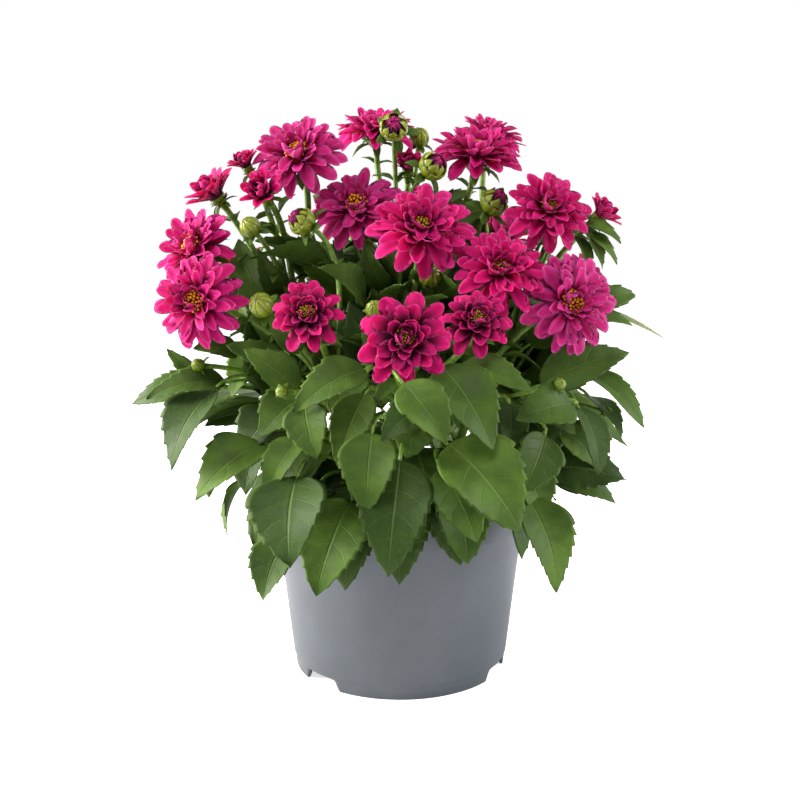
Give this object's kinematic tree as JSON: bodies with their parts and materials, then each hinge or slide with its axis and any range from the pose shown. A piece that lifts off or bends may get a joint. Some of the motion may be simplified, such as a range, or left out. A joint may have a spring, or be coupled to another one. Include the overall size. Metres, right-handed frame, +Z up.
{
  "type": "potted dahlia",
  "caption": "Bushy pot dahlia with magenta double flowers, buds and toothed leaves on leafy shoots in soil, in a tapered plastic nursery pot with a rim band and foot notches.",
  "frame": {"origin": "on the pot's axis, at the level of the surface that the pot stands on", "axes": "+Z up along the pot's axis, -Y towards the viewer of the picture, +X to that viewer's right"},
  "size_m": [0.266, 0.232, 0.2836],
  "materials": {
    "pot_plastic": "satin",
    "soil": "matte",
    "green": "satin",
    "petal": "matte",
    "petal_young": "matte",
    "disc_yellow": "matte",
    "disc_orange": "matte"
  },
  "bodies": {
    "root": {"pot": "pot_plastic", "soil": "soil", "shoot_back_left": "green", "shoot_back_right": "green", "shoot_front": "green", "shoot_front_left": "green", "shoot_front_right": "green", "shoot_left": "green", "shoot_middle": "green", "shoot_right": "green", "petals_back_far_left": "petal", "petals_back_far_right": "petal", "petals_back_high": "petal", "petals_back_low_left": "petal", "petals_back_low_right": "petal", "petals_back_right": "petal", "petals_bud_left": "petal_young", "petals_bud_right": "petal_young", "petals_bud_top": "petal_young", "petals_bud_top_right": "petal_young", "petals_centre": "petal", "petals_centre_left": "petal", "petals_crest": "petal", "petals_front": "petal", "petals_left_high": "petal", "petals_left_low": "petal", "petals_opening_left": "petal_young", "petals_right_high": "petal", "petals_right_low": "petal", "petals_right_mid": "petal", "petals_side_left": "petal_young", "petals_small_left": "petal", "petals_small_right": "petal", "petals_top_left": "petal", "petals_top_mid": "petal", "petals_top_right": "petal", "petals_young_left": "petal_young", "petals_young_right": "petal_young", "petals_young_top": "petal_young", "disc_back_far_left": "disc_orange", "disc_back_far_right": "disc_orange", "disc_back_high": "disc_yellow", "disc_back_low_left": "disc_yellow", "disc_back_low_right": "disc_orange", "disc_back_right": "disc_yellow", "disc_centre": "disc_yellow", "disc_centre_left": "disc_orange", "disc_crest": "disc_yellow", "disc_front": "disc_yellow", "disc_left_high": "disc_orange", "disc_left_low": "disc_orange", "disc_right_high": "disc_yellow", "disc_right_low": "disc_orange", "disc_right_mid": "disc_yellow", "disc_small_left": "disc_yellow", "disc_small_right": "disc_yellow", "disc_top_left": "disc_orange", "disc_top_mid": "disc_yellow", "disc_top_right": "disc_yellow"}
  },
  "joints": []
}
